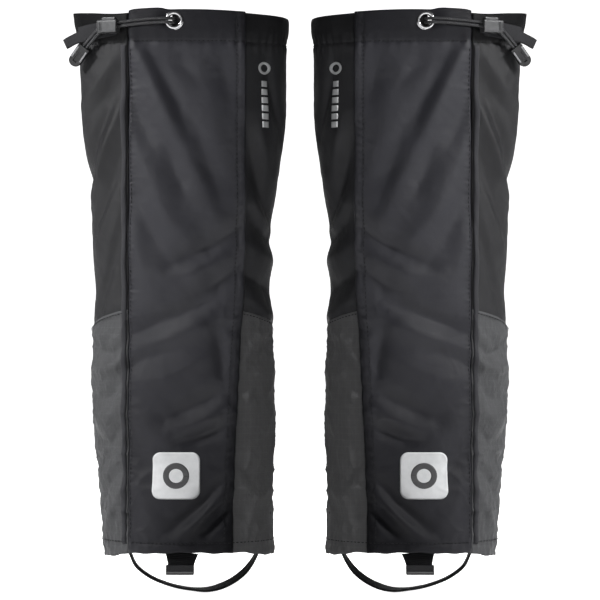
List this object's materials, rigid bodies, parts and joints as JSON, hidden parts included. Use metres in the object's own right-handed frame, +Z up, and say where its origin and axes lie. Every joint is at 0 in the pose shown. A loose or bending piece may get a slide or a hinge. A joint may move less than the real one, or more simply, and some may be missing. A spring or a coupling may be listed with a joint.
{
  "type": "pair of gaiters",
  "caption": "Knee-high fabric gaiters with a front storm flap, a drawcord top with a cord lock, a lace hook and an instep strap.",
  "frame": {"origin": "on the ground, midway between the two gaiters, under the instep straps", "axes": "+Z up along the legs, -Y is the front of the shins, +X is the wearer's left"},
  "size_m": [0.3732, 0.0904, 0.4579],
  "materials": {
    "upper_cloth": "matt weave",
    "upper_cloth_inner": "matt weave",
    "lower_cloth": "coarse ripstop",
    "lower_cloth_inner": "coarse ripstop",
    "flap_cloth": "matt weave",
    "placket_cloth": "matt weave",
    "hook_tape": "hook tape",
    "loop_tape": "loop tape",
    "piping": "folded cloth",
    "lining_cloth": "smooth lining",
    "seam_tape": "satin tape",
    "elastic": "ribbed elastic",
    "reflective_print": "satin",
    "eyelet_metal": "polished",
    "cord": "braided",
    "lock_plastic": "satin",
    "button_plastic": "satin",
    "spring_steel": "plain",
    "cord_end_plastic": "gloss",
    "webbing": "ribbed webbing",
    "strap_webbing": "coated webbing",
    "hook_steel": "satin black"
  },
  "bodies": {
    "right_gaiter": {"right_outer_upper_panel": "upper_cloth", "right_inner_upper_panel": "upper_cloth_inner", "right_outer_lower_panel": "lower_cloth", "right_inner_lower_panel": "lower_cloth_inner", "right_placket": "placket_cloth", "right_hook_strip": "hook_tape", "right_flap_seam_piping": "piping", "right_top_hem_facing": "lining_cloth", "right_bottom_hem_facing": "lining_cloth", "right_back_seam_tape": "seam_tape", "right_ankle_elastic": "elastic", "right_side_mark": "reflective_print", "right_drawcord_ends": "cord", "right_drawcord_hem_run": "cord", "right_lock_housing": "lock_plastic", "right_lock_spring": "spring_steel", "right_cord_end": "cord_end_plastic", "right_lock_tether": "webbing", "right_strap_anchors": "webbing"},
    "right_flap": {"right_front_flap": "flap_cloth", "right_loop_strip": "loop_tape", "right_flap_hem_facing": "lining_cloth", "right_flap_patch": "reflective_print", "right_eyelet": "eyelet_metal", "right_eyelet_washer": "eyelet_metal", "right_drawcord_flap_run": "cord"},
    "right_strap": {"right_instep_strap": "strap_webbing"},
    "right_lace_tab": {"right_lace_tab": "webbing", "right_lace_hook": "hook_steel"},
    "right_lock_button": {"right_lock_button": "button_plastic"},
    "left_gaiter": {"left_outer_upper_panel": "upper_cloth", "left_inner_upper_panel": "upper_cloth_inner", "left_outer_lower_panel": "lower_cloth", "left_inner_lower_panel": "lower_cloth_inner", "left_placket": "placket_cloth", "left_hook_strip": "hook_tape", "left_flap_seam_piping": "piping", "left_top_hem_facing": "lining_cloth", "left_bottom_hem_facing": "lining_cloth", "left_back_seam_tape": "seam_tape", "left_ankle_elastic": "elastic", "left_side_mark": "reflective_print", "left_drawcord_ends": "cord", "left_drawcord_hem_run": "cord", "left_lock_housing": "lock_plastic", "left_lock_spring": "spring_steel", "left_cord_end": "cord_end_plastic", "left_lock_tether": "webbing", "left_strap_anchors": "webbing"},
    "left_flap": {"left_front_flap": "flap_cloth", "left_loop_strip": "loop_tape", "left_flap_hem_facing": "lining_cloth", "left_flap_patch": "reflective_print", "left_eyelet": "eyelet_metal", "left_eyelet_washer": "eyelet_metal", "left_drawcord_flap_run": "cord"},
    "left_strap": {"left_instep_strap": "strap_webbing"},
    "left_lace_tab": {"left_lace_tab": "webbing", "left_lace_hook": "hook_steel"},
    "left_lock_button": {"left_lock_button": "button_plastic"}
  },
  "joints": [
    {"name": "right_flap_open", "type": "hinge", "parent": "right_gaiter", "child": "right_flap", "pos_m": [-0.1334, -0.0354, 0.246], "axis": [0, 0, -1], "range_deg": [0, 105], "deforming": ["right_drawcord_ends"]},
    {"name": "right_strap_swing", "type": "hinge", "parent": "right_gaiter", "child": "right_strap", "pos_m": [-0.0887, 0, 0.0615], "axis": [1, 0, 0], "range_deg": [-32, 32]},
    {"name": "right_lace_tab_swing", "type": "hinge", "parent": "right_gaiter", "child": "right_lace_tab", "pos_m": [-0.092, -0.0412, 0.0344], "axis": [1, 0, 0], "range_deg": [-40, 40]},
    {"name": "right_lock_press", "type": "slide", "parent": "right_gaiter", "child": "right_lock_button", "axis": [0, 0, -1], "range_m": [0, 0.0012], "stiffness_N_per_m": 1500, "springref_m": -0.0006, "deforming": ["right_lock_spring"]},
    {"name": "left_flap_open", "type": "hinge", "parent": "left_gaiter", "child": "left_flap", "pos_m": [0.1334, -0.0354, 0.246], "axis": [0, 0, 1], "range_deg": [0, 105], "deforming": ["left_drawcord_ends"]},
    {"name": "left_strap_swing", "type": "hinge", "parent": "left_gaiter", "child": "left_strap", "pos_m": [0.0887, 0, 0.0615], "axis": [1, 0, 0], "range_deg": [-32, 32]},
    {"name": "left_lace_tab_swing", "type": "hinge", "parent": "left_gaiter", "child": "left_lace_tab", "pos_m": [0.092, -0.0412, 0.0344], "axis": [1, 0, 0], "range_deg": [-40, 40]},
    {"name": "left_lock_press", "type": "slide", "parent": "left_gaiter", "child": "left_lock_button", "axis": [0, 0, -1], "range_m": [0, 0.0012], "stiffness_N_per_m": 1500, "springref_m": -0.0006, "deforming": ["left_lock_spring"]},
    {"name": "pair_spacing", "type": "slide", "parent": "right_gaiter", "child": "left_gaiter", "axis": [1, 0, 0], "range_m": [0, 0.2]}
  ]
}
